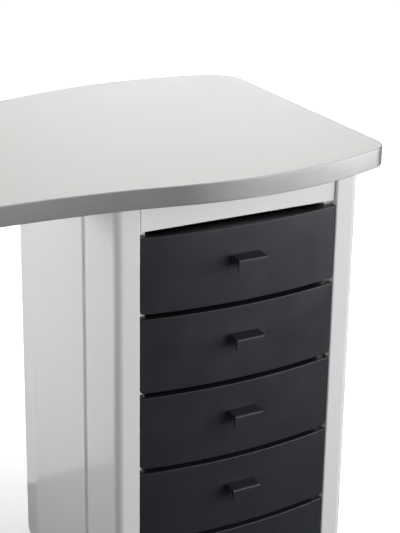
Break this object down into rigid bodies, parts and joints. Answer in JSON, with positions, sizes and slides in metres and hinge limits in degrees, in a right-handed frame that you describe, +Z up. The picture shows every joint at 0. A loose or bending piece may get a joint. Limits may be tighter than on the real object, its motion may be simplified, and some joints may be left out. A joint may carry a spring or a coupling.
{
  "type": "manicure table",
  "caption": "Manicure table with a waisted laminate top, a moulded pedestal of bow-fronted drawers on telescopic runners and a slim end leg.",
  "frame": {"origin": "on the floor, under the middle of the worktop", "axes": "+X along the worktop towards the drawer pedestal, -Y towards the technician and the drawer fronts, +Z up"},
  "size_m": [1.2, 0.54, 0.75],
  "materials": {
    "chipboard": "raw particle board core",
    "laminate": "pale warm grey matt laminate",
    "edge": "satin silver plastic edging with a metal look",
    "shell": "glossy white moulded plastic",
    "white_board": "white melamine-faced board",
    "steel": "zinc-plated steel",
    "rail": "black powder-coated steel tube",
    "front": "satin anthracite moulded plastic",
    "tray": "dark grey moulded plastic",
    "foot": "black nylon"
  },
  "bodies": {
    "frame": {"worktop_board": "chipboard", "worktop_laminate": "laminate", "edge_band": "edge", "stiffener_rail_front": "rail", "stiffener_rail_rear": "rail", "rail_saddles": "steel", "worktop_screws": "steel", "pedestal_front_shell_left": "shell", "pedestal_front_shell_right": "shell", "pedestal_rear_shell_left": "shell", "pedestal_rear_shell_right": "shell", "pedestal_back_panel": "shell", "pedestal_cap": "white_board", "pedestal_base": "white_board", "carcass_side_left": "white_board", "carcass_side_right": "white_board", "fascia": "shell", "plinth": "shell", "shell_screws": "steel", "back_screws": "steel", "drawer_stops": "shell", "leg_outer_shell": "shell", "leg_inner_shell": "shell", "leg_post_front": "rail", "leg_post_rear": "rail", "leg_foot_bar": "rail", "leg_head_plate": "rail", "foot_inserts": "steel", "cabinet_runners": "steel"},
    "drawer_1": {"drawer_front_1": "front", "drawer_tray_1": "tray", "drawer_handle_1": "front", "drawer_runners_1": "steel"},
    "middle_runner_1": {"middle_runners_1": "steel"},
    "drawer_2": {"drawer_front_2": "front", "drawer_tray_2": "tray", "drawer_handle_2": "front", "drawer_runners_2": "steel"},
    "middle_runner_2": {"middle_runners_2": "steel"},
    "drawer_3": {"drawer_front_3": "front", "drawer_tray_3": "tray", "drawer_handle_3": "front", "drawer_runners_3": "steel"},
    "middle_runner_3": {"middle_runners_3": "steel"},
    "drawer_4": {"drawer_front_4": "front", "drawer_tray_4": "tray", "drawer_handle_4": "front", "drawer_runners_4": "steel"},
    "middle_runner_4": {"middle_runners_4": "steel"},
    "drawer_5": {"drawer_front_5": "front", "drawer_tray_5": "tray", "drawer_handle_5": "front", "drawer_runners_5": "steel"},
    "middle_runner_5": {"middle_runners_5": "steel"},
    "foot_pedestal_front_left": {"foot_pedestal_front_left": "foot"},
    "foot_pedestal_rear_left": {"foot_pedestal_rear_left": "foot"},
    "foot_pedestal_front_right": {"foot_pedestal_front_right": "foot"},
    "foot_pedestal_rear_right": {"foot_pedestal_rear_right": "foot"},
    "foot_leg_front": {"foot_leg_front": "foot"},
    "foot_leg_rear": {"foot_leg_rear": "foot"}
  },
  "joints": [
    {"name": "drawer_1_slide", "type": "slide", "parent": "frame", "child": "drawer_1", "axis": [0, -1, 0], "range_m": [0, 0.3]},
    {"name": "middle_runner_1_slide", "type": "slide", "parent": "frame", "child": "middle_runner_1", "axis": [0, -1, 0], "range_m": [0, 0.15]},
    {"name": "drawer_2_slide", "type": "slide", "parent": "frame", "child": "drawer_2", "axis": [0, -1, 0], "range_m": [0, 0.3]},
    {"name": "middle_runner_2_slide", "type": "slide", "parent": "frame", "child": "middle_runner_2", "axis": [0, -1, 0], "range_m": [0, 0.15]},
    {"name": "drawer_3_slide", "type": "slide", "parent": "frame", "child": "drawer_3", "axis": [0, -1, 0], "range_m": [0, 0.3]},
    {"name": "middle_runner_3_slide", "type": "slide", "parent": "frame", "child": "middle_runner_3", "axis": [0, -1, 0], "range_m": [0, 0.15]},
    {"name": "drawer_4_slide", "type": "slide", "parent": "frame", "child": "drawer_4", "axis": [0, -1, 0], "range_m": [0, 0.3]},
    {"name": "middle_runner_4_slide", "type": "slide", "parent": "frame", "child": "middle_runner_4", "axis": [0, -1, 0], "range_m": [0, 0.15]},
    {"name": "drawer_5_slide", "type": "slide", "parent": "frame", "child": "drawer_5", "axis": [0, -1, 0], "range_m": [0, 0.3]},
    {"name": "middle_runner_5_slide", "type": "slide", "parent": "frame", "child": "middle_runner_5", "axis": [0, -1, 0], "range_m": [0, 0.15]},
    {"name": "foot_pedestal_front_left_turn", "type": "hinge", "parent": "frame", "child": "foot_pedestal_front_left", "pos_m": [0.229, -0.165, 0.02], "axis": [0, 0, 1], "range_deg": [-360, 360]},
    {"name": "foot_pedestal_rear_left_turn", "type": "hinge", "parent": "frame", "child": "foot_pedestal_rear_left", "pos_m": [0.229, 0.105, 0.02], "axis": [0, 0, 1], "range_deg": [-360, 360]},
    {"name": "foot_pedestal_front_right_turn", "type": "hinge", "parent": "frame", "child": "foot_pedestal_front_right", "pos_m": [0.509, -0.165, 0.02], "axis": [0, 0, 1], "range_deg": [-360, 360]},
    {"name": "foot_pedestal_rear_right_turn", "type": "hinge", "parent": "frame", "child": "foot_pedestal_rear_right", "pos_m": [0.509, 0.105, 0.02], "axis": [0, 0, 1], "range_deg": [-360, 360]},
    {"name": "foot_leg_front_turn", "type": "hinge", "parent": "frame", "child": "foot_leg_front", "pos_m": [-0.52, -0.165, 0.02], "axis": [0, 0, 1], "range_deg": [-360, 360]},
    {"name": "foot_leg_rear_turn", "type": "hinge", "parent": "frame", "child": "foot_leg_rear", "pos_m": [-0.52, 0.105, 0.02], "axis": [0, 0, 1], "range_deg": [-360, 360]}
  ],
  "couplings": [
    {"joint": "middle_runner_1_slide", "follows": "drawer_1_slide", "ratio": 0.5},
    {"joint": "middle_runner_2_slide", "follows": "drawer_2_slide", "ratio": 0.5},
    {"joint": "middle_runner_3_slide", "follows": "drawer_3_slide", "ratio": 0.5},
    {"joint": "middle_runner_4_slide", "follows": "drawer_4_slide", "ratio": 0.5},
    {"joint": "middle_runner_5_slide", "follows": "drawer_5_slide", "ratio": 0.5}
  ]
}
